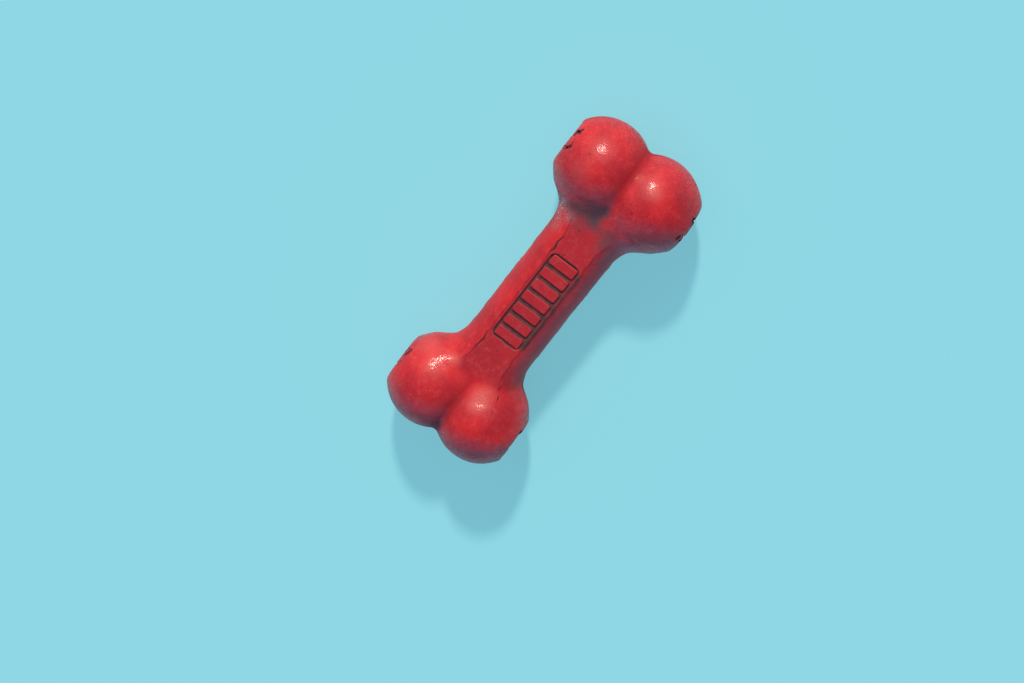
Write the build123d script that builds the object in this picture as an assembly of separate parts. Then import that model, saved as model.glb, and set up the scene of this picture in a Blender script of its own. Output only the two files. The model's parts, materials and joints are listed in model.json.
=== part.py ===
from build123d import *
from math import acos, asin, atan2, cos, degrees, hypot, pi, radians, sin, sqrt, tan
import os

# Overall form of the bone, in mm
bone_length = 178.0
lobe_diameter = 44.6
flat_diameter = 23.0
valley_radius = 4.5

# Shaft and necks
shaft_diameter = 34.4
panel_edge_radius = 1.5
flare_radius = 24.0
shoulder_radius = 8.0
collar_inset = 5.5
neck_radius = 3.6

# Grip pad sunk in each flat panel
pad_length = 50.0
pad_margin = 1.2
pad_corner_radius = 3.0
pad_depth = 0.8
bar_count = 7
bar_margin = 0.9

# Gripper flaps that close each tunnel mouth
flap_count = 8
flap_thickness = 2.6
flap_tip_thickness = 1.8
flap_recess = 0.3
rim_width = 2.3
tip_radius = 2.4
slit_width = 1.2
slit_spare = 0.5
slit_overreach = 1.2
hinge_clearance = 0.2
lip_set = 0.9
swing_clearance = 0.5

# Length added to a cut so that it clears the surface it opens
overrun = 5.0

# Shares: valley crest and collar of the lobe radius, panel height of the shaft radius, bar of its pitch,
# and places of the shaft's cross-sections along its straight, its flare, its shoulder and its collar
crest_share = 0.82
collar_share = 0.55
panel_share = 0.856
bar_share = 0.74
shaft_shares = (0.2, 0.4, 0.6, 0.8, 1)
flare_shares = (0.2, 0.4, 0.6, 0.8, 1)
shoulder_shares = (0.75, 0.5, 0.25, 0)
collar_shares = (0.1, 0.3, 0.6, 1)

# Derived sizes
lobe_radius = lobe_diameter / 2
flat_radius = flat_diameter / 2
shaft_radius = shaft_diameter / 2
head_x = bone_length / 2 - lobe_radius
mid_height = lobe_radius
crest_radius = crest_share * lobe_radius
valley_x = crest_radius + valley_radius
half_spacing = sqrt((lobe_radius + valley_radius) ** 2 - valley_x**2)
flat_reach = sqrt(lobe_radius**2 - flat_radius**2)
half_width = half_spacing + flat_reach
half_panel = panel_share * shaft_radius
panel_width = 2 * sqrt(shaft_radius**2 - half_panel**2)
pad_width = panel_width - 2 * pad_margin
bar_pitch = (pad_length - 2 * bar_margin) / (bar_count - 1 + bar_share)
bar_length = pad_width - 2 * bar_margin
bead_radius = flap_thickness / 2
seat_radius = bead_radius + hinge_clearance
hinge_radius = flat_radius - rim_width
hinge_depth = flap_recess + bead_radius
tunnel_radius = hinge_radius + bead_radius + swing_clearance
flap_pitch = 360 / flap_count
half_pitch = radians(flap_pitch / 2)


def on_circle(centre, radius, angle):
    """Point at an angle on a circle drawn in a sketch plane."""
    return (centre[0] + radius * cos(angle), centre[1] + radius * sin(angle))


def head():
    """Two ball lobes and the valley between them, turned about the centre line of the tunnel."""
    rim_angle = atan2(flat_reach, flat_radius)
    valley_angle = -atan2(half_spacing, valley_x)
    bulge_angle = (rim_angle + valley_angle) / 2
    upper = (0, half_spacing)
    lower = (0, -half_spacing)
    upper_bulge = on_circle(upper, lobe_radius, bulge_angle)
    lower_bulge = on_circle(lower, lobe_radius, -bulge_angle)
    upper_end = on_circle(upper, lobe_radius, valley_angle)
    lower_end = on_circle(lower, lobe_radius, -valley_angle)
    outline = Line((0, half_width), (flat_radius, half_width))
    outline += ThreePointArc((flat_radius, half_width), upper_bulge, upper_end)
    outline += ThreePointArc(upper_end, (crest_radius, 0), lower_end)
    outline += ThreePointArc(lower_end, lower_bulge, (flat_radius, -half_width))
    outline += Line((flat_radius, -half_width), (0, -half_width))
    outline += Line((0, -half_width), (0, half_width))
    return revolve(make_face(outline), Axis.Y)


def oval(x, width):
    """Cross-section of the shaft: an oval of a half width, cut flat above and below into the panels."""
    lean = degrees(asin(panel_share))
    near = EllipticalCenterArc((0, 0), width, shaft_radius, -lean, arc_size=2 * lean)
    far = EllipticalCenterArc((0, 0), width, shaft_radius, 180 - lean, arc_size=2 * lean)
    outline = near + Line(near @ 1, far @ 0) + far + Line(far @ 1, near @ 0)
    return Plane((x, 0, 0), (0, 1, 0), (1, 0, 0)) * make_face(outline)


def shaft():
    """Round shaft whose sides swell to an oval collar inside each head, with flat panels above and below."""
    collar_radius = half_width - collar_inset
    collar_x = head_x - collar_share * lobe_radius
    sweep = acos(1 - (collar_radius - shaft_radius) / (flare_radius + shoulder_radius))
    flare_start = collar_x - (flare_radius + shoulder_radius) * sin(sweep)
    flare_centre = (flare_start, shaft_radius + flare_radius)
    shoulder_centre = (collar_x, collar_radius - shoulder_radius)
    half_route = [(share * flare_start, shaft_radius) for share in shaft_shares]
    for share in flare_shares:
        half_route.append(on_circle(flare_centre, flare_radius, share * sweep - pi / 2))
    for share in shoulder_shares:
        half_route.append(on_circle(shoulder_centre, shoulder_radius, share * sweep + pi / 2))
    for share in collar_shares:
        half_route.append((collar_x + share * (head_x - collar_x), collar_radius))
    route = [(-x, width) for x, width in reversed(half_route)] + half_route
    bar = loft([oval(x, width) for x, width in route])
    borders = bar.edges().filter_by(lambda edge: edge.length > head_x)
    return fillet(borders, panel_edge_radius)


def grip_pad():
    """Pocket of the grip pad, less the plain bars left standing in it."""
    pocket = extrude(RectangleRounded(pad_length, pad_width, pad_corner_radius), -pad_depth)
    bar = Rectangle(bar_share * bar_pitch, bar_length)
    bars = Sketch() + GridLocations(bar_pitch, 0, bar_count, 1) * bar
    return pocket - extrude(bars, -pad_depth)


def mouth():
    """Everything cut from one flat round its flaps, with the hinge axes in the XY plane."""
    opening = RegularPolygon(hinge_radius + lip_set, flap_count, major_radius=False, rotation=flap_pitch / 2)
    cut = extrude(opening, hinge_depth + overrun, both=True)
    seat = Plane.XZ * Cylinder(seat_radius, 2 * (hinge_radius + bead_radius) * tan(half_pitch))
    slit_end = flat_radius + slit_overreach
    slit_depth = flap_recess + flap_thickness + slit_spare
    slit = Pos(slit_end / 2, 0, hinge_depth - slit_depth) * Box(
        slit_end, slit_width, slit_depth + overrun, align=(Align.CENTER, Align.CENTER, Align.MIN)
    )
    for turn in range(flap_count):
        cut += Rot(Z=flap_pitch * turn) * Pos(X=hinge_radius) * seat
        cut += Rot(Z=flap_pitch * (turn + 1 / 2)) * slit
    return cut


def flap():
    """One flap: a wedge tapering from the round bead on its hinge axis to a blunt tip."""
    tip_low = bead_radius - flap_tip_thickness
    reach = hypot(hinge_radius - tip_radius, tip_low)
    tip_angle = atan2(tip_low, tip_radius - hinge_radius)
    touch_angle = tip_angle + acos(bead_radius / reach)
    touch = on_circle((hinge_radius, 0), bead_radius, touch_angle)
    outline = Line((hinge_radius, bead_radius), (tip_radius, bead_radius))
    outline += Line((tip_radius, bead_radius), (tip_radius, tip_low))
    outline += Line((tip_radius, tip_low), touch)
    outline += ThreePointArc(touch, (hinge_radius + bead_radius, 0), (hinge_radius, bead_radius))
    bar = extrude(Plane.XZ * make_face(outline), hinge_radius, both=True)
    side_set = slit_width / 2 / sin(half_pitch)
    far = hinge_radius + seat_radius + overrun
    spread = (far - side_set) * tan(half_pitch)
    wedge = make_face(Polyline((side_set, 0), (far, spread), (far, -spread), close=True))
    return bar & extrude(wedge, flap_thickness, both=True)


def mouth_planes():
    """Name and plane of each gripper: Z outward, X along its first flap, with a slit upright before it."""
    places = {}
    for end, sign_x in (("left", -1), ("right", 1)):
        for side, sign_y in (("front", -1), ("back", 1)):
            origin = (sign_x * head_x, sign_y * (half_width - hinge_depth), mid_height)
            first_flap = (sign_y * sin(half_pitch), 0, cos(half_pitch))
            places[f"{end}_{side}"] = Plane(origin, x_dir=first_flap, z_dir=(0, sign_y, 0))
    return places


def bone_body(places):
    """The moulded bone: shaft and heads blended, then pads, tunnels and mouths cut."""
    bar = shaft()
    right = Pos(X=head_x) * head()
    left = Pos(X=-head_x) * Rot(Y=180) * head()
    blank = bar + right + left
    body = fillet(new_edges(bar, right, left, combined=blank), neck_radius)
    pad = grip_pad()
    body -= Pos(Z=half_panel) * pad
    body -= Pos(Z=-half_panel) * Rot(X=180) * pad
    body = Pos(Z=mid_height) * body
    tunnel = Rot(X=90) * Cylinder(tunnel_radius, 2 * (half_width - hinge_depth))
    for sign_x in (-1, 1):
        body -= Pos(sign_x * head_x, 0, mid_height) * tunnel
    cut = mouth()
    for plane in places.values():
        body -= plane * cut
    return body


def parts():
    """Every node of the toy, by name."""
    places = mouth_planes()
    nodes = {"bone_body": bone_body(places)}
    one_flap = flap()
    for name, plane in places.items():
        for turn in range(flap_count):
            nodes[f"{name}_flap_{turn + 1}"] = plane * Rot(Z=flap_pitch * turn) * one_flap
    return nodes


os.makedirs("parts", exist_ok=True)
for node, solid in parts().items():
    export_step(solid, f"parts/{node}.step")
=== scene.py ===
import json
from math import acos, cos, pi, radians, sin, tan

import bpy
import numpy as np
from mathutils import Matrix, Vector


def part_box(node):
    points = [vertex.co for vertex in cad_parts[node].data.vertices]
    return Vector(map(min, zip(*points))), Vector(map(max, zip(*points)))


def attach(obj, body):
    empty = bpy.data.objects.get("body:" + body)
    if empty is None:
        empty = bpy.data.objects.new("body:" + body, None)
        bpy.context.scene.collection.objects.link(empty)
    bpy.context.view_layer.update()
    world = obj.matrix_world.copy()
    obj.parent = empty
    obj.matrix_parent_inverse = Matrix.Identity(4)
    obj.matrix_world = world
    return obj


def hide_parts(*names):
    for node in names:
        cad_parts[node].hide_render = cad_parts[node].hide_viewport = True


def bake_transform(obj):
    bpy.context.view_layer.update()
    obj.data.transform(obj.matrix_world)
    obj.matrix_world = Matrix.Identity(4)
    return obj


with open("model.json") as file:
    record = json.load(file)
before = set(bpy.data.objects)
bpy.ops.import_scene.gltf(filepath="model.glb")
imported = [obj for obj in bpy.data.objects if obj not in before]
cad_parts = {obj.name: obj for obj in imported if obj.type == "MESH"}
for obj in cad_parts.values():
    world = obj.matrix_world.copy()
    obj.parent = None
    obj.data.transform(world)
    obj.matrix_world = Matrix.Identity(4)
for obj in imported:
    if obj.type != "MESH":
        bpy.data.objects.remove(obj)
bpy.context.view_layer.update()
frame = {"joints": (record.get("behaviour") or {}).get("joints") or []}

MM = 0.001

# Sizes in mm that the frame gives; heights are counted from the middle of the bone
body_low, body_high = (np.array(corner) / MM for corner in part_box("bone_body"))
mid_height = (body_low[2] + body_high[2]) / 2
lobe_radius = (body_high[2] - body_low[2]) / 2
half_width = body_high[1]
head_x = body_high[0] - lobe_radius
joints = {joint["child"]: joint for joint in frame["joints"]}
grippers = sorted({child.rsplit("_flap_", 1)[0] for child in joints})
flap_count = len(joints) // len(grippers)
flap_pitch = 2 * pi / flap_count
first_hinge = np.array(joints[f"{grippers[0]}_flap_1"]["pos_m"]) / MM
hinge_radius = np.hypot(abs(first_hinge[0]) - head_x, first_hinge[2] - mid_height)

# Sizes in mm of the moulded body: those of its solid, but with the blends, edges and slits of the worn toy
flat_radius = 11.5
half_spacing = half_width - (lobe_radius**2 - flat_radius**2) ** 0.5
shaft_radius = 17.2
half_panel = 14.72
panel_edge_radius = 0.5
flare_radius = 24.0
shoulder_radius = 8.0
collar_inset = 5.5
collar_share = 0.55
collar_radius = half_width - collar_inset
collar_x = head_x - collar_share * lobe_radius
flare_sweep = acos(1 - (collar_radius - shaft_radius) / (flare_radius + shoulder_radius))
flare_start = collar_x - (flare_radius + shoulder_radius) * sin(flare_sweep)
flare_end = flare_start + flare_radius * sin(flare_sweep)
neck_radius = 4.5
valley_radius = 2.4
rim_radius = 0.6
tunnel_radius = 11.0
hole_radius = 10.3
wall_thickness = 3.0
slit_width = 0.8
slit_end = 12.4
slit_depth = 3.4
mouth_edge_radius = 0.35
pad_length = 50.0
pad_width = 15.4
pad_corner_radius = 3.0
pad_depth = 0.8
bar_count = 7
bar_pitch = 7.15
bar_width = 5.3
bar_length = 13.6
bar_corner_radius = 0.9
pad_edge_radius = 0.3

# Wear, in mm: cracks along stretches of the panel edges (side, start, stop and half width), flash on the
# parting line, tears at the slits
hairline_half = 0.15
hairline_ends = 40.0, 50.0
crack_wander = 0.16
crack_inset = 0.1
crack_spare = 0.05
crack_stretches = (
    (1, 19.0, 36.0, 0.27), (1, -40.0, -23.0, 0.25), (-1, 22.0, 39.0, 0.17), (-1, -36.0, -25.0, 0.15),
)
taper_power = 0.7
scratch_wander = 0.1
scratch_reach = 1.0
scratch_overrun = 0.05
across_limit = 9
flash_height = 0.32
flash_width = 0.55
flash_rim = 1.0
flash_skin = 0.5
flash_range = -0.3, 0.9
sag_height = 0.16
sink_most = 0.4
tear_depth = 0.5
tear_share = 1.1
wobble_coarse = 0.2
wobble_fine = 0.14

# Where dirt, painted shade and painted bounce light lie on the body, as ranges from none to full: in mm, and for
# hollows and the bounce film in shares
hollow_shade_and_grime = 0.8
hollow_range = 0.15, 0.6
pocket_range = -0.35, 0.1
pocket_floor = -2.0, -0.4
edge_grime = 0.75
edge_range = 0.2, 1.4
edge_middle = 18.0, 27.0
edge_ends = 38.0, 50.0
mouth_range = 0.5, 2.5
mouth_rim = 11.0, 13.0
flat_range = -0.6, -0.1
flat_sides = 0.0, 0.5
flat_ends = 40.0, 52.0
# The valley between the lobes: dirt and painted shade, wider on the slope that faces away from the key lamp
valley_reach = 2.2
valley_spread = 3
valley_range = head_x - 18, head_x - 9
torn_range = 0.0, 0.35
bounce_film_range = 0.0, 0.45
polish_least = 0.15
polish_range = 36.0, 50.0

# Grid of the body's mesh
step = 0.5
margin = 1.5
surface_pulls = 3
tiny = 1e-6


def union_round(a, b, radius):
    """Field of two shapes joined with a hollow fillet."""
    corner = np.hypot(np.maximum(radius - a, 0), np.maximum(radius - b, 0))
    return np.maximum(radius, np.minimum(a, b)) - corner


def common_round(a, b, radius):
    """Field of what two shapes share, with a rounded edge."""
    return -union_round(-a, -b, radius)


def cut_round(a, b, radius):
    """Field of a shape with another one cut from it, with a rounded edge."""
    return -union_round(-a, b, radius)


def rounded_box(a, b, half_a, half_b, radius):
    """Field of a flat rectangle with rounded corners."""
    over_a = np.abs(a) - half_a + radius
    over_b = np.abs(b) - half_b + radius
    outside = np.hypot(np.maximum(over_a, 0), np.maximum(over_b, 0))
    return outside + np.minimum(np.maximum(over_a, over_b), 0) - radius


def value_noise(points, grain, seed):
    """Smooth noise from -1 to 1 with grains of a given size, at points in mm."""
    count = 32
    lattice = np.random.default_rng(seed).uniform(-1, 1, (count, count, count))
    cell = np.floor(points / grain).astype(int)
    share = points / grain - cell
    share = share * share * (3 - 2 * share)
    total = np.zeros(len(points))
    for corner in np.ndindex(2, 2, 2):
        weight = np.prod(np.where(corner, share, 1 - share), axis=1)
        total += weight * lattice[tuple(((cell + corner) % count).T)]
    return total


# How far each segment round a mouth has sunk with use, or below 0 stands proud, by end, side and flap
sink = np.random.default_rng(4).uniform(0, 1, (2, 2, flap_count)) ** 2 * sink_most
sink[1, 0, 6:8] = 0.0, -0.4
sink[1, 0, 0:2] = -0.3, -0.1
sink[0, 0, 6:8] = 0.0, 0.7

# How far each lobe is drawn out towards its flat, by end and side
stretch = np.array([[0.0, 0.0], [1.3, 0.0]])
stretch_start = 20.0

# How far the flat of each mouth falls away from its upper to its lower edge, by end and side
dips = np.array([[0.0, 0.0], [2.0, 0.0]])

# Tears where slits end in the rims: end, side, slit counted in flaps, half width and reach, in mm
tears = (
    (1, -1, -0.9, 1.3, 14.2), (1, -1, 0.25, 0.5, 13.2), (-1, -1, -1, 1.0, 13.2), (-1, -1, 0, 0.8, 13.2),
    (1, -1, 3, 1.0, 13.2), (1, 1, 4, 0.9, 13.3), (-1, -1, 3, 1.1, 13.4), (-1, 1, 5, 0.8, 13.0),
)

# Chips out of the rims: the place of each end and half width
chips = (
    ((73.4, 33.0, 10.0), (75.4, 32.4, 9.3), 0.8), ((75.4, 32.3, 9.4), (77.3, 31.2, 9.6), 0.6),
    ((75.1, 31.9, 10.4), (75.8, 31.2, 11.1), 0.55), ((65.7, 32.9, 12.1), (67.3, 31.9, 13.2), 0.65),
    ((67.3, 31.9, 13.3), (69.0, 31.0, 14.1), 0.6), ((70.3, 31.1, 13.7), (69.6, 31.0, 13.9), 0.45),
    ((-61.2, 32.8, 10.6), (-59.2, 32.2, 10.5), 0.85), ((-59.2, 32.2, 10.5), (-57.6, 31.7, 10.3), 0.55),
    ((-65.4, 33.0, 11.8), (-64.2, 32.8, 12.2), 0.5), ((64.5, -31.5, 14.0), (66.4, -31.6, 13.8), 0.55),
    ((-55.6, -31.2, -9.0), (-57.4, -31.8, -10.0), 0.7), ((76.0, 31.6, -10.2), (74.2, 32.2, -10.4), 0.65),
)


def unstretched(x, y):
    """Place across the bone before its lobes were drawn out towards their flats."""
    most = stretch[(x > 0).astype(int), (y > 0).astype(int)]
    share = np.clip((np.abs(y) - stretch_start) / (half_width - stretch_start), 0, 1)
    return y - np.sign(y) * most * share**2


def dip(x, y, z):
    """How far the flat of a mouth lies below the level of its upper edge."""
    most = dips[(x > 0).astype(int), (y > 0).astype(int)]
    return most * np.clip((1 - z / flat_radius) / 2, 0, 1)


def mouth_polar(x, y, z):
    """Distance from the tunnel's centre line, and the turn round it counted in flaps."""
    along = x - np.sign(x) * head_x
    turn = np.arctan2(np.sign(y) * along, z) / flap_pitch - 0.5
    return np.hypot(along, z), turn


def blank_fields(x, y, z):
    """Fields of the head, the flared shaft and the panel planes before anything is cut."""
    end = np.abs(x) - head_x
    upper = np.sqrt(end**2 + (y - half_spacing) ** 2 + z**2) - lobe_radius
    lower = np.sqrt(end**2 + (y + half_spacing) ** 2 + z**2) - lobe_radius
    head = union_round(upper, lower, valley_radius)
    flare = np.clip(np.abs(x) - flare_start, 0, flare_end - flare_start)
    shoulder = np.clip(collar_x - np.abs(x), 0, collar_x - flare_end)
    in_flare = np.abs(x) < flare_end
    hollow = shaft_radius + flare_radius - np.sqrt(flare_radius**2 - flare**2)
    round_off = collar_radius - shoulder_radius + np.sqrt(shoulder_radius**2 - shoulder**2)
    half = np.where(in_flare, hollow, round_off)
    lean = np.where(in_flare, flare / flare_radius, shoulder / shoulder_radius)
    rise = lean / np.sqrt(1 - lean**2)
    oval = np.sqrt((y / half) ** 2 + (z / shaft_radius) ** 2)
    slope = np.sqrt((y / half**2) ** 2 + (z / shaft_radius**2) ** 2 + (y**2 * rise / half**3) ** 2)
    neck = np.maximum((oval - 1) * oval / np.maximum(slope, tiny), end)
    return head, neck, np.abs(z) - half_panel


def crack_offset(x):
    """How far the cracks wander from the panel edges, along the bone."""
    return crack_wander * (np.sin(0.55 * x + 2 * np.sin(0.23 * x)) + 0.2 * np.sin(2.3 * x))


def crack_half(x, y, z):
    """Half width of the cracks along stretches of the panel edges, turned end for end below."""
    flip = np.where(z > 0, 1, -1)
    half = 0.0
    for side, start, stop, most in crack_stretches:
        place = np.clip((flip * x - start) / (stop - start), 0, 1)
        here = np.sign(y) == side * flip
        half = np.maximum(half, np.where(here, most * np.sin(pi * place) ** taper_power, 0))
    return half


def crack_field(x, y, z, neck, panel):
    """Field of the fine cracks."""
    away = np.hypot(neck + crack_inset + crack_offset(x), panel + crack_inset)
    return away - crack_half(x, y, z) + crack_spare


def tear_field(x, y, z):
    """Field of the ragged tears where slits end in the rims of the flats, and of the chips beside them."""
    wobble = wobble_coarse * np.sin(2.3 * x + 1.1 * z) * np.sin(2.9 * z - 1.7 * y)
    wobble = wobble + wobble_fine * np.sin(5.3 * x) * np.sin(4.9 * z)
    torn = np.inf
    for end, side, slit, half, reach in tears:
        angle = slit * flap_pitch
        out_x, out_z = side * sin(angle), cos(angle)
        along = (x - end * head_x) * out_x + z * out_z
        across = (x - end * head_x) * out_z - z * out_x
        over = along - np.clip(along, hinge_radius, reach - half)
        height = (side * y - half_width + tear_depth) / tear_share
        torn = np.minimum(torn, np.sqrt(over**2 + across**2 + height**2) - half)
    for start, stop, half in chips:
        off = x - start[0], y - start[1], z - start[2]
        run = [last - first for first, last in zip(start, stop)]
        share = sum(o * r for o, r in zip(off, run)) / sum(r * r for r in run)
        share = np.clip(share, 0, 1)
        away = sum((o - share * r) ** 2 for o, r in zip(off, run))
        torn = np.minimum(torn, np.sqrt(away) - half)
    return torn + wobble


def pad_field(x, y, panel):
    """Field of the shallow pocket in a panel, round the plain bars left standing in it."""
    place = np.clip(np.round(x / bar_pitch), -(bar_count // 2), bar_count // 2)
    bar = rounded_box(x - place * bar_pitch, y, bar_width / 2, bar_length / 2, bar_corner_radius)
    pocket = rounded_box(x, y, pad_length / 2, pad_width / 2, pad_corner_radius)
    return np.maximum(np.maximum(pocket, -bar), -panel - pad_depth)


def bone_field(x, y, z):
    """Signed distance, in mm, to the surface of the moulded bone."""
    y = unstretched(x, y)
    head, neck, panel = blank_fields(x, y, z)
    body = union_round(common_round(neck, panel, panel_edge_radius), head, neck_radius)
    body = cut_round(body, crack_field(x, y, z, neck, panel), pad_edge_radius)
    body = cut_round(body, pad_field(x, y, panel), pad_edge_radius)
    radius, turn = mouth_polar(x, y, z)
    sunk = sink[(x > 0).astype(int), (y > 0).astype(int), np.round(turn).astype(int) % flap_count]
    level = half_width - dip(x, y, z)
    body = common_round(body, np.abs(y) - level + sunk, rim_radius)
    body = cut_round(body, tear_field(x, y, z), mouth_edge_radius)
    wall = np.abs(y) - level + wall_thickness
    bore = np.minimum(np.maximum(radius - tunnel_radius, wall), radius - hole_radius)
    body = cut_round(body, bore, mouth_edge_radius)
    aside = (turn - np.floor(turn) - 0.5) * flap_pitch
    slit = np.maximum(np.abs(radius * np.sin(aside)) - slit_width / 2, radius * np.cos(aside) - slit_end)
    slit = np.maximum(slit, level - slit_depth - np.abs(y))
    return cut_round(body, slit, mouth_edge_radius)


def surface_net(field, low):
    """Points and quads of the zero level of a field on a grid, one point in each cell that it crosses."""
    cells = tuple(n - 1 for n in field.shape)
    total = np.zeros(cells + (3,), np.float32)
    count = np.zeros(cells, np.int8)
    crossings = []
    for axis in range(3):
        values = np.moveaxis(field, axis, 0)
        start, stop = values[:-1], values[1:]
        crossed = (start < 0) != (stop < 0)
        share = np.where(crossed, start / np.where(crossed, start - stop, 1), 0)
        crossings.append((crossed, start < 0))
        others = [other for other in range(3) if other != axis]
        sums = np.moveaxis(total, axis, 0)
        counts = np.moveaxis(count, axis, 0)
        for j in (0, 1):
            for k in (0, 1):
                window = np.s_[:, j : j + sums.shape[1], k : k + sums.shape[2]]
                sums[..., axis] += share[window]
                sums[..., others[0]] += j * crossed[window]
                sums[..., others[1]] += k * crossed[window]
                counts += crossed[window]
    used = count > 0
    number = np.full(cells, -1)
    number[used] = np.arange(used.sum())
    points = low + step * (np.argwhere(used) + total[used] / count[used][:, None])
    quads = []
    for axis, (crossed, outward) in enumerate(crossings):
        numbers = np.moveaxis(number, axis, 0)
        i, j, k = np.nonzero(crossed[:, 1:-1, 1:-1])
        ring = [numbers[i, j + a, k + b] for a, b in ((0, 0), (1, 0), (1, 1), (0, 1))]
        quad = np.stack(ring, axis=1)
        flip = outward[:, 1:-1, 1:-1][i, j, k] == (axis == 1)
        quad[flip] = quad[flip][:, ::-1]
        quads.append(quad)
    return points, np.concatenate(quads)


def field_at(points):
    """Signed distance from the bone's surface at points."""
    return bone_field(*points.T)


def normals_at(points):
    """Outward directions of the field at points."""
    nudge = 0.06
    slopes = [field_at(points + nudge * unit) - field_at(points - nudge * unit) for unit in np.eye(3)]
    slope = np.stack(slopes, axis=1)
    return slope / np.maximum(np.linalg.norm(slope, axis=1, keepdims=True), tiny)


def crowding(points, normals):
    """How much of the space before each point is taken up by the bone itself, from 0 to 1."""
    reaches = (1.2, 2.5, 5.0, 9.0)
    taken = [np.clip(1 - field_at(points + reach * normals) / reach, 0, 1) for reach in reaches]
    return np.mean(taken, axis=0)


def mesh_object(name, points, faces, attributes):
    """A smooth mesh from points in mm, with float attributes on its points."""
    mesh = bpy.data.meshes.new(name)
    placed = (np.asarray(points) + (0, 0, mid_height)) * MM
    mesh.from_pydata(placed.tolist(), [], faces)
    for key, values in attributes.items():
        layer = mesh.attributes.new(key, "FLOAT", "POINT")
        layer.data.foreach_set("value", np.asarray(values, np.float32))
    mesh.polygons.foreach_set("use_smooth", [True] * len(mesh.polygons))
    mesh.update()
    piece = bpy.data.objects.new(name, mesh)
    bpy.context.scene.collection.objects.link(piece)
    return piece


def smooth_step(values, start, stop):
    """Rise from 0 to 1 with soft ends."""
    share = np.clip((values - start) / (stop - start), 0, 1)
    return share * share * (3 - 2 * share)


# Soft spots of dark soil and painted shadow, painted lilac bounce light with dust, pale dust, rubbed rubber with
# a painted sheen, and painted shade in deeper red: place, reach in mm and strength
soil_and_shadow_spots = (
    ((51.3, 3.8, 14.9), 8.5, 0.95), ((55.5, 0.8, 15.3), 6.0, 0.75), ((48.0, 11.2, 14.6), 7.5, 0.75),
    ((53.5, 8.0, 17.0), 8.0, 0.5), ((47.3, 2.5, 14.7), 5.0, 0.6), ((46.3, 15.0, 13.0), 6.0, 0.45),
    ((-77.6, 1.9, 15.2), 5.0, 0.6), ((-80.5, 1.0, 12.0), 5.0, 0.6), ((-80.5, 7.0, 14.5), 5.0, 0.35),
    ((46.2, -1.0, 14.7), 7.0, 0.5), ((46.2, -8.5, 14.7), 7.0, 0.6), ((42.1, -8.7, 14.7), 6.5, 0.45),
    ((42.4, 5.9, 14.7), 6.5, 0.4), ((37.9, -7.2, 14.7), 6.5, 0.25), ((42.6, 11.0, 14.4), 5.0, 0.3),
    ((-77.0, -22.0, 16.5), 7.0, 0.25),
)
# Painted lilac bounce light from the floor, with dust
bounce_and_dust_spots = (
    ((49.6, -24.7, 9.1), 12.0, 0.35), ((58.2, -31.9, 9.5), 11.0, 0.3), ((46.6, -16.9, 11.8), 8.0, 0.35),
    ((44.7, -12.7, 13.9), 5.0, 0.25), ((38.7, -13.5, 11.5), 6.0, 0.2),
    ((-86.5, -13.8, 9.0), 13.0, 0.2), ((-80.5, -22.8, 13.0), 13.0, 0.25), ((-73.0, -30.0, 12.5), 12.0, 0.25),
    ((-53.0, -31.4, 2.7), 11.0, 0.2), ((-79.2, 27.6, 10.0), 12.0, 0.15), ((-86.0, 16.1, 9.5), 13.0, 0.25),
    ((-83.0, 6.7, 11.5), 9.0, 0.2), ((49.6, 26.3, 4.0), 10.0, 0.3), ((45.5, 22.0, 1.5), 9.0, 0.3),
)
dusts = (
    ((46.3, 20.0, 8.0), 9.5, 1.0), ((41.5, 18.3, 5.5), 7.5, 0.75), ((35.5, 15.5, 9.0), 7.0, 0.4),
    ((42.0, 12.5, 13.8), 5.5, 0.4),
)
# Rubbed spots, which also paint a pale sheen that widens the highlights
rub_and_sheen_spots = (
    ((-51.2, -8.1, 15.2), 8.0, 0.5), ((-55.7, -8.0, 18.2), 7.0, 0.5), ((-50.3, 26.2, 9.0), 9.0, 0.35),
    ((-46.3, 12.5, 14.5), 5.0, 0.4), ((76.4, -12.1, 19.8), 6.0, 0.3), ((77.3, -2.3, 15.6), 4.0, 0.4),
    ((64.1, 20.8, 20.9), 9.0, 0.25), ((56.0, 28.5, 12.0), 6.0, 0.3),
)
# Painted shade in deeper red on the sides of the lobes
shade_spots = (
    ((-58.9, 7.4, 19.7), 9.0, 0.5), ((-59.5, -18.3, 20.4), 10.0, 0.5), ((-48.8, 4.2, 14.7), 7.0, 0.4),
    ((73.4, 6.5, 19.7), 8.0, 0.5), ((80.2, -25.3, 13.5), 9.0, 0.6), ((-52.9, -21.2, 15.7), 10.0, 0.65),
)

# Painted lilac bounce light, as a thin film on all that faces the left end and the front
bounce_film_most = 0.26
bounce_side = np.array([-0.9, -0.38, 0.0])

# Scratches: the place of each end, half width and how pale each is, from 0 to 1
scratches = (
    ((-43.2, -11.2, 14.5), (-46.6, -12.4, 14.5), 0.24, 0.0),
    ((-47.2, -13.2, 14.4), (-50.6, -14.4, 15.2), 0.3, 0.0),
    ((-52.0, -13.5, 16.6), (-54.5, -17.5, 18.0), 0.14, 1.0),
    ((-54.0, -12.5, 18.2), (-56.6, -16.2, 19.4), 0.12, 1.0),
    ((86.2, 21.4, 7.9), (86.7, 19.8, 7.4), 0.36, 0.25),
    ((72.9, 31.0, 12.9), (72.1, 31.1, 13.2), 0.34, 0.1),
    ((71.7, 31.2, 13.1), (71.1, 31.4, 12.9), 0.28, 0.1),
    ((69.9, 32.3, 12.3), (69.3, 32.2, 12.5), 0.26, 0.1),
    ((-67.6, 33.0, 11.9), (-66.9, 32.8, 12.2), 0.3, 0.1),
)


def spots(points, places):
    """Strength of soft spots at points; the underside has them too, turned over about the shaft."""
    clear = np.ones(len(points))
    for place, reach, strength in places:
        for turned in (1, -1):
            away = np.linalg.norm(points - np.array(place) * (1, turned, turned), axis=1)
            clear *= 1 - strength * (1 - smooth_step(away, 0.1 * reach, reach))
    return 1 - clear


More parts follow.
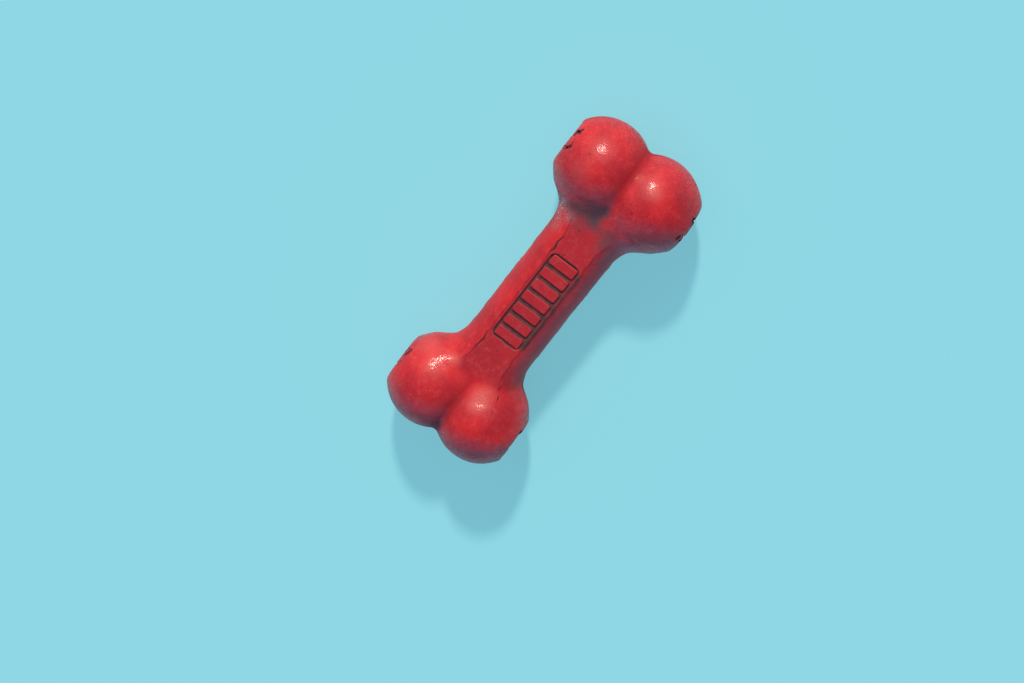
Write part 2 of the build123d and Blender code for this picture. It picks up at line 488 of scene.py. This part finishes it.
def wear_lines(points, normals, neck, panel):
    """Place across the nearest crack or scratch and its half width, in mm, and how pale it is."""
    x, y, z = points.T
    across = panel - neck - crack_offset(x)
    hairline = hairline_half * (1 - smooth_step(np.abs(x), *hairline_ends))
    half = np.maximum(hairline, crack_half(x, y, z))
    pale = np.zeros(len(points))
    for start, stop, width, tone in scratches:
        for turned in (1, -1):
            first, last = (np.array(end) * (1, turned, turned) for end in (start, stop))
            run = last - first
            length = np.linalg.norm(run)
            nearest = np.argmin(np.linalg.norm(points - (first + last) / 2, axis=1))
            sideways = np.cross(normals[nearest], run / length)
            offset = points - first
            place = offset @ run / length**2
            aside = offset @ sideways + scratch_wander * np.sin(3 * length * place)
            here = (np.abs(place - 0.5) < 0.5 + scratch_overrun) & (np.abs(aside) < scratch_reach)
            here = here & (np.linalg.norm(offset, axis=1) < length + scratch_reach)
            across = np.where(here, aside, across)
            half = np.where(here, width * np.sin(pi * np.clip(place, 0, 1)) ** taper_power, half)
            pale = np.where(here, tone, pale)
    across = np.clip(across, -across_limit, across_limit)
    return {"across": across, "line_half": half, "line_pale": pale}


def bone_surface():
    """Points, quads and outward directions of the moulded bone, drawn to the zero level of its field."""
    low = np.array([body_low[0], body_low[1], -lobe_radius]) - margin
    high = np.array([body_high[0], body_high[1], lobe_radius]) + margin
    grid = [np.arange(a, b, step, dtype=np.float32) for a, b in zip(low, high)]
    field = bone_field(*np.meshgrid(*grid, indexing="ij", sparse=True))
    points, quads = surface_net(field, low)
    for _ in range(surface_pulls):
        pull = np.clip(field_at(points), -step / 2, step / 2)
        points = points - pull[:, None] * normals_at(points)
    return points, quads, normals_at(points)


def surface_lift(points, y, head, neck, panel):
    """How far the flash on the parting line and the sag of old rubber lift the surface, in mm."""
    outer = (np.abs(y) < half_width - flash_rim) * (np.maximum(np.minimum(neck, head), panel) > -flash_skin)
    flash = np.exp(-((points[:, 2] / flash_width) ** 2)) * outer
    patches = value_noise(points, 5.0, 11) + 0.5 * value_noise(points, 1.6, 12)
    flash = flash * smooth_step(patches, *flash_range)
    sag = value_noise(points, 13.0, 13) + 0.4 * value_noise(points, 4.0, 14)
    return flash * flash_height + sag * sag_height


def grime_and_shade_at(points, normals, y, neck, panel):
    """How dark points are made by grime and painted shade: grime and painted shade in hollows and inside the
    mouths, grime round the bars of the pad and along panel edges.
    """
    x, z = points[:, 0], points[:, 2]
    hollow = smooth_step(crowding(points, normals), *hollow_range)
    pocket = smooth_step(-pad_field(x, y, panel), *pocket_range) * smooth_step(panel, *pocket_floor)
    edge = (1 - smooth_step(np.hypot(neck, panel), *edge_range)) * (np.sign(y) != np.sign(z))
    edge = edge * (0.5 + 0.5 * (1 - smooth_step(np.abs(x), *edge_middle)))
    edge = edge * (1 - smooth_step(np.abs(x), *edge_ends))
    radius, _ = mouth_polar(x, y, z)
    inside = smooth_step(half_width - np.abs(y), *mouth_range) * (1 - smooth_step(radius, *mouth_rim))
    return np.maximum.reduce([hollow_shade_and_grime * hollow, pocket, edge_grime * edge, inside])


def bone_piece():
    """The moulded bone, with its wear and the masks where shade, shadow, sheen and bounce light are painted, as
    one mesh.
    """
    points, quads, normals = bone_surface()
    x, y, z = points.T
    y = unstretched(x, y)
    head, neck, panel = blank_fields(x, y, z)
    attributes = wear_lines(points, normals, neck, panel)
    attributes["grime_and_shade"] = grime_and_shade_at(points, normals, y, neck, panel)
    attributes["torn"] = 1 - smooth_step(tear_field(x, y, z), *torn_range)
    flat = smooth_step(panel, *flat_range) * smooth_step(-neck, *flat_sides)
    attributes["flat"] = flat * (1 - smooth_step(np.abs(x), *flat_ends))
    # Dirt and painted shade in the valley, reaching further on the slope that faces away from the key lamp
    reach = np.where(y * np.sign(z) > 0, valley_spread, 1) * valley_reach
    attributes["valley"] = np.exp(-((y / reach) ** 2)) * smooth_step(np.abs(x), *valley_range)
    attributes["polish"] = polish_least + (1 - polish_least) * smooth_step(np.abs(x), *polish_range)
    points = points + surface_lift(points, y, head, neck, panel)[:, None] * normals
    # Painted lilac bounce light as a film on surfaces that face away from the key lamp
    bounce_film = bounce_film_most * smooth_step(normals @ bounce_side, *bounce_film_range)
    attributes["bounce_and_dust"] = 1 - (1 - spots(points, bounce_and_dust_spots)) * (1 - bounce_film)
    for name, places in (("soil_and_shadow", soil_and_shadow_spots), ("dust", dusts), ("rub_and_sheen", rub_and_sheen_spots), ("painted_shade", shade_spots)):
        attributes[name] = spots(points, places)
    piece = mesh_object("bone_moulding", points, quads.tolist(), attributes)
    piece.data.materials.append(rubber)
    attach(piece, "bone")
    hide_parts("bone_body")
    return piece


# Petals: a wedge of rubber between two slits, root in the wall of the mouth, tip near its middle;
# lengths in mm, curls in degrees, the rest in shares
petal_tip = 2.3
petal_root = 11.0
petal_thickness = 2.6
petal_tip_thickness = 1.8
petal_recess = 0.12
petal_gap = 0.85
petal_edge_power = 5
petal_rows = 22
petal_ring = 40
petal_curl_spread = 3.0
petal_curl_most = 7.0
petal_tip_start = 0.86
petal_tip_power = 4
petal_tip_width = 0.35
petal_tip_height = 0.2
petal_half_least = 0.25
petal_side_reach = 0.35
petal_root_reach = 0.9
# Grime and painted shade on each petal's inner face, along its sides and at its root, inside the mouth
petal_inner_dark = 0.95
petal_side_dark = 0.85
petal_root_dark = 0.8
bend_reach = 1.3


def petal_mesh(curl):
    """Points (out along the flap, across it, up from its hinge) and faces of one petal, and its grime and painted
    shade inside the mouth.
    """
    half_pitch = flap_pitch / 2
    angles = np.arange(petal_ring) * 2 * pi / petal_ring
    shape = 2 / petal_edge_power
    across = np.sign(np.cos(angles)) * np.abs(np.cos(angles)) ** shape
    up = np.sign(np.sin(angles)) * np.abs(np.sin(angles)) ** shape
    rows = []
    grime_and_shade = []
    for row in range(petal_rows):
        share = row / (petal_rows - 1)
        place = petal_root + (petal_tip - petal_root) * share
        half = place * tan(half_pitch) - petal_gap / 2 / cos(half_pitch)
        thick = petal_thickness + (petal_tip_thickness - petal_thickness) * share
        near_tip = max(0, (share - petal_tip_start) / (1 - petal_tip_start))
        closing = (1 - near_tip**petal_tip_power) ** 0.5 if share < 1 else 0.0
        middle = -petal_recess - thick / 2
        half = max(half, petal_half_least) * (petal_tip_width + (1 - petal_tip_width) * closing)
        rise = thick / 2 * up * (petal_tip_height + (1 - petal_tip_height) * closing)
        ring = np.stack([np.full(petal_ring, place), half * across, middle + rise], 1)
        rows.append(ring)
        inward = smooth_step(middle - ring[:, 2], -0.2 * thick, 0.2 * thick)
        side = smooth_step(np.abs(ring[:, 1]), half - petal_side_reach, half)
        root = smooth_step(place, hole_radius - petal_root_reach, hole_radius)
        darkening = [petal_inner_dark * inward, petal_side_dark * side, np.full(petal_ring, petal_root_dark * root)]
        grime_and_shade.append(np.maximum.reduce(darkening))
    points = np.concatenate(rows)
    past_hinge = smooth_step(points[:, 0], hinge_radius - bend_reach, hinge_radius + bend_reach)
    bend = radians(curl) * (1 - past_hinge)
    arm = points[:, 0] - hinge_radius
    height = points[:, 2] + petal_thickness / 2 + petal_recess
    points[:, 0] = hinge_radius + arm * np.cos(bend) - height * np.sin(bend)
    points[:, 2] = arm * np.sin(bend) + height * np.cos(bend) - petal_thickness / 2 - petal_recess
    faces = []
    for row in range(petal_rows - 1):
        for i in range(petal_ring):
            j = (i + 1) % petal_ring
            a, b = row * petal_ring, (row + 1) * petal_ring
            faces.append((a + i, a + j, b + j, b + i))
    faces.append(tuple(reversed(range(petal_ring))))
    faces.append(tuple(range((petal_rows - 1) * petal_ring, petal_rows * petal_ring)))
    return points, faces, np.concatenate(grime_and_shade)


def petal_piece(node, curl):
    """One gripper petal, curled at its root, in place of its flap."""
    name, number = node.rsplit("_flap_", 1)
    hinge = np.array(joints[node]["pos_m"]) / MM - (0, 0, mid_height)
    side_x, side_y = np.sign(hinge[0]), np.sign(hinge[1])
    middle = np.array([side_x * head_x, 0, 0])
    out = (hinge - middle) * (1, 0, 1) / hinge_radius
    upward = np.array([0, side_y, 0])
    across = np.cross(upward, out)
    turn = int(number) - 1
    corner = int(side_x > 0), int(side_y > 0)
    level = half_width + stretch[corner] - sink[corner][turn]
    local, faces, grime_and_shade = petal_mesh(curl)
    points = middle + np.outer(local[:, 0], out) + np.outer(local[:, 1], across)
    points = points + np.outer(local[:, 2] + level, upward)
    points = points - np.outer(dip(*points.T), upward)
    piece = mesh_object(f"{name}_petal_{number}", points, faces, {"grime_and_shade": grime_and_shade})
    piece.data.materials.append(rubber)
    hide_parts(node)
    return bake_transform(piece)


class Graph:
    """The nodes of one material, written in short."""

    def __init__(self, name):
        self.material = bpy.data.materials.new(name)
        self.material.use_nodes = True
        self.tree = self.material.node_tree
        self.shader = self.tree.nodes["Principled BSDF"]

    def add(self, kind, inputs, **settings):
        """A new node with its inputs linked or set."""
        node = self.tree.nodes.new("ShaderNode" + kind)
        for key, value in settings.items():
            setattr(node, key, value)
        for key, value in inputs.items():
            self.put(node.inputs[key], value)
        return node

    def put(self, socket, value):
        """Link a socket to another one, or set its value."""
        if isinstance(value, bpy.types.NodeSocket):
            self.tree.links.new(value, socket)
        else:
            socket.default_value = value

    def attribute(self, name):
        """A float attribute of the mesh."""
        return self.add("Attribute", {}, attribute_name=name).outputs["Fac"]

    def noise(self, where, scale, detail=3.0, roughness=0.55):
        """Soft noise about 0.5."""
        inputs = {"Vector": where, "Scale": scale, "Detail": detail, "Roughness": roughness}
        return self.add("TexNoise", inputs).outputs["Fac"]

    def math(self, operation, a, b=0.0):
        """One sum of two values."""
        return self.add("Math", {0: a, 1: b}, operation=operation).outputs[0]

    def remap(self, value, start, stop, low=0.0, high=1.0):
        """A value's range moved to another one, with soft ends."""
        inputs = {"Value": value, "From Min": start, "From Max": stop, "To Min": low, "To Max": high}
        return self.add("MapRange", inputs, interpolation_type="SMOOTHSTEP").outputs["Result"]

    def mix(self, share, a, b):
        """Colour a with a share of colour b."""
        return self.add("Mix", {0: share, 6: a, 7: b}, data_type="RGBA").outputs[2]

    def cover(self, base, colour, where, most):
        """A base with a colour laid over it where a value says so, up to a share."""
        return self.mix(self.math("MULTIPLY", where, most), base, colour)


# Colours, linear
RED = (0.720, 0.008, 0.008, 1)
RED_DEEP = (0.500, 0.003, 0.008, 1)
RED_CHALKY = (0.780, 0.140, 0.110, 1)
RED_FLAT = (0.485, 0.016, 0.021, 1)
# Dark red of the tears, painted as shade in their pits
RED_TORN_SHADE = (0.160, 0.006, 0.012, 1)
# Dark red painted as shade, in the valleys and on the shaded sides of the lobes
RED_PAINTED_SHADE = (0.330, 0.003, 0.010, 1)
# Grime, also painted as shade in hollows and inside the mouths
GRIME_AND_SHADE = (0.045, 0.036, 0.038, 1)
# Soil, also painted as the shadow that the upper lobes cast on the neck
SOIL_AND_SHADOW = (0.070, 0.055, 0.068, 1)
# Lilac painted as bounce light from the floor, with dust
LILAC_BOUNCE_AND_DUST = (0.330, 0.215, 0.310, 1)
FILM = (0.400, 0.350, 0.360, 1)
DUST = (0.720, 0.680, 0.670, 1)
SPECK = (0.060, 0.012, 0.014, 1)
CRACK = (0.075, 0.006, 0.010, 1)
AQUA = (0.340, 0.725, 0.830, 1)
AQUA_SHADE = (0.325, 0.710, 0.815, 1)

# What the floor shows where it is looked at: part of its paleness is its own, so that its shadow stays light
AQUA_SEEN = (0.150, 0.305, 0.335, 1)
AQUA_GLOW = (0.155, 0.430, 0.490, 1)

# Grains of the rubber's patterns, per mm
MOTTLE_SCALE = 0.07
CLOUD_SCALE = 0.28
GRAIN_SCALE = 1.5
PEBBLE_SCALE = 0.75
SPECK_SCALE = 0.3
SPECK_SIZE = 0.15
MOTE_SCALE = 0.95
MOTE_SIZE = 0.52

# Most that each layer of colour covers of what lies under it
FLAT_MOST = 0.75
CHALK_MOST = 0.6
SCUFF_MOST = 0.3
SPECK_MOST = 0.65
VALLEY_SHADE_MOST = 0.6
HAZE_LEAST = 0.03
SHADE_SPOT_MOST = 0.7
SOIL_AND_SHADOW_MOST = 0.92
GRIME_AND_SHADE_MOST = 0.93
POWDER_MOST = 0.9
MOTE_MOST = 0.85
LINE_MOST = 0.95

# Gloss and fine relief of the rubber
ROUGH_LOW, ROUGH_HIGH = 0.48, 0.6
DULL_ROUGHNESS = 0.3
RUBBER_SPECULAR = 0.42
COAT_LOW, COAT_HIGH = 0.05, 0.5
COAT_ROUGHNESS = 0.14
GRAIN_RELIEF = 0.6
STREAK_RELIEF = 0.25
PEBBLE_RELIEF = 0.5
BUMP_STRENGTH = 0.6
COAT_BUMP_STRENGTH = 0.4
BUMP_DISTANCE = 0.2 * MM

# Floor card
CARD_SCALE = 3.0
CARD_ROUGHNESS = 0.9
CARD_SPECULAR = 0.2
FLOOR_HALF = 8.0


def rubber_material():
    """Worn red rubber: mottled, chalky where it is rubbed, dark with grime and painted shade in its hollows, with
    painted shadow, sheen and bounce light.
    """
    g = Graph("worn_red_rubber")
    place = g.add("TexCoord", {}).outputs["Object"]
    where = g.add("VectorMath", {0: place, 1: (1 / MM,) * 3}, operation="MULTIPLY").outputs[0]
    mottle = g.noise(where, MOTTLE_SCALE, 4.0)
    cloud = g.noise(where, CLOUD_SCALE, 6.0, 0.65)
    grain = g.noise(where, GRAIN_SCALE, 4.0, 0.6)
    pebble = g.noise(where, PEBBLE_SCALE, 4.0, 0.6)
    streak_place = g.add("Mapping", {"Vector": where, "Rotation": (0.4, 0.7, 0.9), "Scale": (0.12, 2.6, 2.6)})
    streak = g.noise(streak_place.outputs[0], 1.0, 3.0)
    valley = g.attribute("valley")
    dust = g.attribute("dust")

    # Red rubber, chalky where it is rubbed and with a painted pale sheen round the highlights there, with dark
    # specks and with dirt and painted shade in the valleys
    colour = g.mix(g.remap(mottle, 0.3, 0.7), RED_DEEP, RED)
    colour = g.cover(colour, RED_FLAT, g.attribute("flat"), FLAT_MOST)
    chalk = g.math("MULTIPLY", g.remap(cloud, 0.45, 0.75), g.remap(grain, 0.45, 0.7))
    # Chalky rubbed spots, which also paint a pale sheen round the highlights
    rub_and_sheen = g.math("MULTIPLY", g.attribute("rub_and_sheen"), g.remap(grain, 0.3, 0.65, 0.5, 1.0))
    colour = g.mix(g.math("MAXIMUM", g.math("MULTIPLY", chalk, CHALK_MOST), rub_and_sheen), colour, RED_CHALKY)
    scuffs = g.math("MULTIPLY", g.remap(streak, 0.6, 0.72), g.remap(cloud, 0.45, 0.6))
    colour = g.cover(colour, RED_CHALKY, scuffs, SCUFF_MOST)
    cells = g.add("TexVoronoi", {"Vector": where, "Scale": SPECK_SCALE})
    chance = g.add("SeparateColor", {0: cells.outputs["Color"]}).outputs[0]
    speck_size = g.remap(chance, 0.8, 1.0, 0.0, SPECK_SIZE)
    ragged = g.math("MULTIPLY", cells.outputs["Distance"], g.remap(grain, 0.35, 0.65, 0.5, 1.7))
    colour = g.cover(colour, SPECK, g.math("LESS_THAN", ragged, speck_size), SPECK_MOST)
    # Dirt and painted shade in the valleys between the lobes
    colour = g.cover(colour, RED_PAINTED_SHADE, valley, VALLEY_SHADE_MOST)

    # Painted lilac bounce light with a faint dust film, painted shade in deeper red, soil with a painted shadow,
    # grime with painted shade, and dust over it
    bounce_film = g.math("ADD", g.attribute("bounce_and_dust"), HAZE_LEAST)
    bounce_film = g.math("MULTIPLY", bounce_film, g.remap(cloud, 0.25, 0.7, 0.55, 1.1))
    colour = g.cover(colour, LILAC_BOUNCE_AND_DUST, bounce_film, g.remap(grain, 0.3, 0.65, 0.7, 1.0))
    # Painted shade in deeper red
    colour = g.cover(colour, RED_PAINTED_SHADE, g.attribute("painted_shade"), SHADE_SPOT_MOST)
    # Soil, with the painted shadow of the upper lobes on the neck
    soil_and_shadow = g.math("MULTIPLY", g.attribute("soil_and_shadow"), g.remap(cloud, 0.25, 0.75, 0.7, 1.1))
    colour = g.cover(colour, SOIL_AND_SHADOW, g.remap(soil_and_shadow, 0.0, 0.9), SOIL_AND_SHADOW_MOST)
    # Grime, with painted shade in hollows and inside the mouths
    grime_and_shade = g.math("ADD", g.attribute("grime_and_shade"), g.remap(cloud, 0.25, 0.75, -0.2, 0.2))
    grime_shade_share = g.remap(grime_and_shade, 0.28, 0.85)
    colour = g.cover(colour, GRIME_AND_SHADE, grime_shade_share, GRIME_AND_SHADE_MOST)
    powder = g.math("MULTIPLY", dust, POWDER_MOST)
    colour = g.cover(colour, FILM, powder, g.remap(grain, 0.35, 0.65, 0.15, 1.0))
    motes = g.add("TexVoronoi", {"Vector": where, "Scale": MOTE_SCALE})
    chance = g.add("SeparateColor", {0: motes.outputs["Color"]}).outputs[0]
    mote_size = g.math("MULTIPLY", g.remap(chance, 0.1, 1.0, 0.0, MOTE_SIZE), dust)
    colour = g.cover(colour, DUST, g.math("LESS_THAN", motes.outputs["Distance"], mote_size), MOTE_MOST)

    # Tears, with dark red painted as shade in their pits, cracks and scratches
    colour = g.mix(g.attribute("torn"), colour, RED_TORN_SHADE)
    half = g.attribute("line_half")
    off_line = g.math("SUBTRACT", g.math("ABSOLUTE", g.attribute("across")), half)
    weight = g.remap(half, 0.02, 0.3, 0.0, LINE_MOST)
    line = g.math("MULTIPLY", g.remap(off_line, -0.08, 0.14, 1.0, 0.0), weight)
    colour = g.mix(line, colour, g.mix(g.attribute("line_pale"), CRACK, RED_CHALKY))
    g.put(g.shader.inputs["Base Color"], colour)

    # Gloss, dulled by dirt and where shade and shadow are painted, with a polished skin on the heads
    dull = g.math("MAXIMUM", g.math("MAXIMUM", grime_shade_share, soil_and_shadow), g.math("MAXIMUM", dust, valley))
    rough = g.remap(cloud, 0.3, 0.7, ROUGH_LOW, ROUGH_HIGH)
    g.put(g.shader.inputs["Roughness"], g.math("ADD", rough, g.math("MULTIPLY", dull, DULL_ROUGHNESS)))
    g.shader.inputs["Specular IOR Level"].default_value = RUBBER_SPECULAR
    clean = g.math("SUBTRACT", 1.0, dull)
    coat = g.math("MULTIPLY", g.remap(pebble, 0.4, 0.6, COAT_LOW, COAT_HIGH), clean)
    g.put(g.shader.inputs["Coat Weight"], g.math("MULTIPLY", coat, g.attribute("polish")))
    g.shader.inputs["Coat Roughness"].default_value = COAT_ROUGHNESS

    # Fine relief, softer on the skin
    relief = g.math("ADD", g.math("MULTIPLY", grain, GRAIN_RELIEF), g.math("MULTIPLY", streak, STREAK_RELIEF))
    relief = g.math("ADD", relief, g.math("MULTIPLY", pebble, PEBBLE_RELIEF))
    relief = g.math("ADD", relief, g.math("SUBTRACT", cloud, line))
    for socket, strength in (("Normal", BUMP_STRENGTH), ("Coat Normal", COAT_BUMP_STRENGTH)):
        bump = g.add("Bump", {"Height": relief, "Strength": strength, "Distance": BUMP_DISTANCE})
        g.put(g.shader.inputs[socket], bump.outputs["Normal"])
    return g.material


def floor_material():
    """Pale aqua card that glows a little where it is looked at, and keeps its shadows."""
    g = Graph("pale_aqua_card")
    place = g.add("TexCoord", {}).outputs["Object"]
    shade = g.noise(place, CARD_SCALE, 3.0)
    card = g.mix(g.remap(shade, 0.2, 0.8), AQUA_SHADE, AQUA)
    ray = g.add("LightPath", {}).outputs
    seen = g.math("MAXIMUM", ray["Is Camera Ray"], ray["Is Glossy Ray"])
    seen = g.math("MAXIMUM", seen, ray["Is Transmission Ray"])
    g.put(g.shader.inputs["Base Color"], g.mix(seen, card, AQUA_SEEN))
    g.shader.inputs["Emission Color"].default_value = AQUA_GLOW
    g.put(g.shader.inputs["Emission Strength"], seen)
    g.shader.inputs["Roughness"].default_value = CARD_ROUGHNESS
    g.shader.inputs["Specular IOR Level"].default_value = CARD_SPECULAR
    return g.material


# Camera, fitted to the bone's outline in the photograph
PHOTO_WIDTH, PHOTO_HEIGHT = 1024, 683
SENSOR_WIDTH = 36.0
bone_pixel = (540.8, 293.3)
focal_pixels = 2730.0
camera_distance = 1.266
tilt_to_camera = radians(20.0)
turn_in_picture = radians(51.76)
roll_of_bone = radians(-2.81)


def bone_in_camera():
    """The bone's three axes as columns, seen from the camera: right, down and forward."""
    along = Vector((cos(tilt_to_camera) * cos(turn_in_picture), -cos(tilt_to_camera) * sin(turn_in_picture),
                    -sin(tilt_to_camera)))
    facing = Vector((0, 0, -1))
    facing = (facing - facing.dot(along) * along).normalized()
    facing = cos(roll_of_bone) * facing + sin(roll_of_bone) * facing.cross(along)
    return Matrix((along, facing.cross(along), facing)).transposed()


def add_camera():
    """The camera at the photograph's place, with the bone where its frame has it."""
    axes = bone_in_camera()
    middle = Vector((0, 0, mid_height * MM))
    seen = Vector((bone_pixel[0] - PHOTO_WIDTH / 2, bone_pixel[1] - PHOTO_HEIGHT / 2, focal_pixels))
    seen = seen * camera_distance / focal_pixels
    flip = Matrix.Diagonal((1, -1, -1))
    camera = bpy.data.objects.new("camera", bpy.data.cameras.new("camera"))
    bpy.context.scene.collection.objects.link(camera)
    camera.data.sensor_width = SENSOR_WIDTH
    camera.data.lens = SENSOR_WIDTH * focal_pixels / PHOTO_WIDTH
    turn = axes.transposed() @ flip
    camera.matrix_world = Matrix.Translation(middle - axes.transposed() @ seen) @ turn.to_4x4()
    bpy.context.scene.camera = camera


# Light: a small soft key from above the camera, a broad fill from the left, and a pale blue surround
key_direction = (-0.018, -0.602, -0.798)
key_angle = radians(5.0)
key_power = 3.05
key_colour = (1.0, 0.94, 0.82)
fill_direction = (-0.80, -0.30, -0.50)
fill_angle = radians(80.0)
fill_power = 0.25
fill_colour = (1.0, 0.94, 0.86)
surround_colour = (0.66, 0.84, 1.26, 1)
surround_strength = 0.3


def add_lamp(name, direction, angle, power, colour):
    """A far lamp that stands in a direction from the bone: right, down and forward, seen from the camera."""
    lamp = bpy.data.objects.new(name, bpy.data.lights.new(name, "SUN"))
    bpy.context.scene.collection.objects.link(lamp)
    toward = bone_in_camera().transposed() @ Vector(direction)
    lamp.rotation_mode = "QUATERNION"
    lamp.rotation_quaternion = toward.to_track_quat("Z", "Y")
    lamp.data.energy = power
    lamp.data.angle = angle
    lamp.data.color = colour


def add_light():
    """Both lamps and the surround."""
    add_lamp("key", key_direction, key_angle, key_power, key_colour)
    add_lamp("fill", fill_direction, fill_angle, fill_power, fill_colour)
    world = bpy.data.worlds.new("surround")
    world.use_nodes = True
    background = world.node_tree.nodes["Background"]
    background.inputs["Color"].default_value = surround_colour
    background.inputs["Strength"].default_value = surround_strength
    bpy.context.scene.world = world


def add_floor():
    """A wide card under the bone."""
    corners = [(x * FLOOR_HALF, y * FLOOR_HALF, 0) for x, y in ((-1, -1), (1, -1), (1, 1), (-1, 1))]
    mesh = bpy.data.meshes.new("floor")
    mesh.from_pydata(corners, [], [(0, 1, 2, 3)])
    floor = bpy.data.objects.new("floor", mesh)
    bpy.context.scene.collection.objects.link(floor)
    mesh.materials.append(floor_material())


rubber = rubber_material()
bone_piece()
curls = np.random.default_rng(9).normal(0, petal_curl_spread, len(joints))
curls = np.clip(curls, -petal_curl_most, petal_curl_most)
for node, curl in zip(sorted(joints), curls):
    petal_piece(node, curl)
add_floor()
add_light()
add_camera()
bpy.context.scene.view_settings.view_transform = "Standard"
